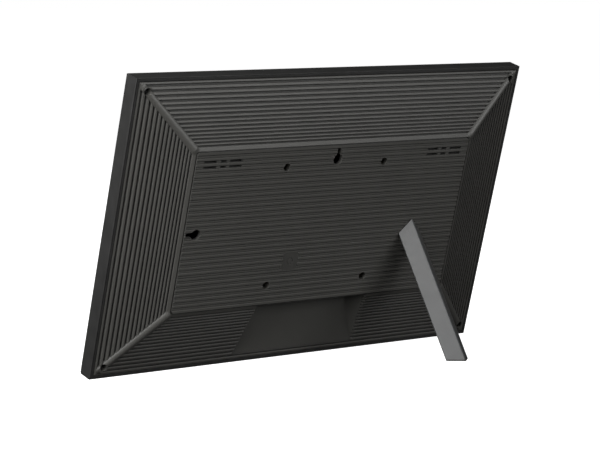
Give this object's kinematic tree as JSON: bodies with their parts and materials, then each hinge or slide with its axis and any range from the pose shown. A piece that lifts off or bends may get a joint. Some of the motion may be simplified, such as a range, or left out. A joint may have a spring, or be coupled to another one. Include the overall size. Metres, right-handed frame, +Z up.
{
  "type": "digital photo frame",
  "caption": "Desktop digital photo frame leaning on one rear leg, with a fluted hipped back, keyholes, wall-mount holes and a connector pocket.",
  "frame": {"origin": "on the table, under the middle of the bounding box of the frame and its leg", "axes": "+X along the width, to the right as seen from the front; the display faces -Y; +Y is the back, where the leg is; +Z up"},
  "size_m": [0.392, 0.1288, 0.2388],
  "materials": {
    "bezel_plastic": "fine matt moulded",
    "screen_glass": "clear polished",
    "border_print": "printed gloss black",
    "display_panel": "dark polarised",
    "clear_acrylic": "polished",
    "white_strip": "satin",
    "steel_sheet": "zinc plated sheet",
    "zinc_screw": "zinc plated",
    "cover_plastic": "fine matt moulded",
    "black_screw": "black oxide",
    "brass": "turned",
    "dark_steel": "blackened",
    "badge_plastic": "satin",
    "circuit_board": "solder mask",
    "tinned_can": "tinned",
    "chip_black": "matt moulded",
    "capacitor_can": "drawn can",
    "lead_sleeve": "sleeved",
    "connector_white": "moulded",
    "connector_black": "moulded",
    "ribbon_film": "film",
    "button_plastic": "satin moulded",
    "spring_steel": "drawn wire",
    "speaker_plastic": "moulded",
    "foam": "closed cell foam",
    "leg_metal": "satin dark grey",
    "foot_rubber": "matt",
    "nylon": "natural"
  },
  "bodies": {
    "housing": {"front_bezel": "bezel_plastic", "screen_glass": "screen_glass", "border_mask": "border_print", "lcd_cell": "display_panel", "light_guide": "clear_acrylic", "led_strip": "white_strip", "backlight_tray": "steel_sheet", "panel_brackets": "steel_sheet", "bracket_screws": "zinc_screw", "back_cover": "cover_plastic", "corner_screws": "black_screw", "vesa_inserts": "brass", "keyhole_plate_top": "dark_steel", "keyhole_plate_side": "dark_steel", "ring_badge": "badge_plastic", "main_board": "circuit_board", "board_standoffs": "brass", "board_screws": "zinc_screw", "processor_shield": "tinned_can", "board_chips": "chip_black", "board_capacitors": "capacitor_can", "wifi_module": "tinned_can", "wifi_antenna": "circuit_board", "antenna_lead": "lead_sleeve", "ribbon_connector": "connector_white", "lcd_ribbon": "ribbon_film", "dc_jack": "connector_black", "dc_jack_pin": "tinned_can", "usb_socket": "tinned_can", "usb_tongue": "connector_white", "card_slot": "connector_black", "button_spring": "spring_steel", "button_switch": "connector_black", "speaker_plugs": "connector_white", "speaker_left": "speaker_plastic", "speaker_right": "speaker_plastic", "speaker_gasket_left": "foam", "speaker_gasket_right": "foam", "speaker_lead_left": "lead_sleeve", "speaker_lead_right": "lead_sleeve", "leg_bush": "dark_steel", "friction_washer": "nylon"},
    "leg": {"stand_leg": "leg_metal", "leg_foot_pad": "foot_rubber", "leg_retainer": "dark_steel", "leg_screw": "black_screw"},
    "button": {"power_button": "button_plastic"}
  },
  "joints": [
    {"name": "leg_swivel", "type": "hinge", "parent": "housing", "child": "leg", "pos_m": [-0.0927, -0.0047, 0.10373], "axis": [0, 0.9613, -0.2756], "range_deg": [0, 90]},
    {"name": "button_press", "type": "slide", "parent": "housing", "child": "button", "axis": [0, 0.2756, 0.9613], "range_m": [0, 0.0008], "stiffness_N_per_m": 1500, "springref_m": -0.0003, "deforming": ["button_spring"]}
  ]
}
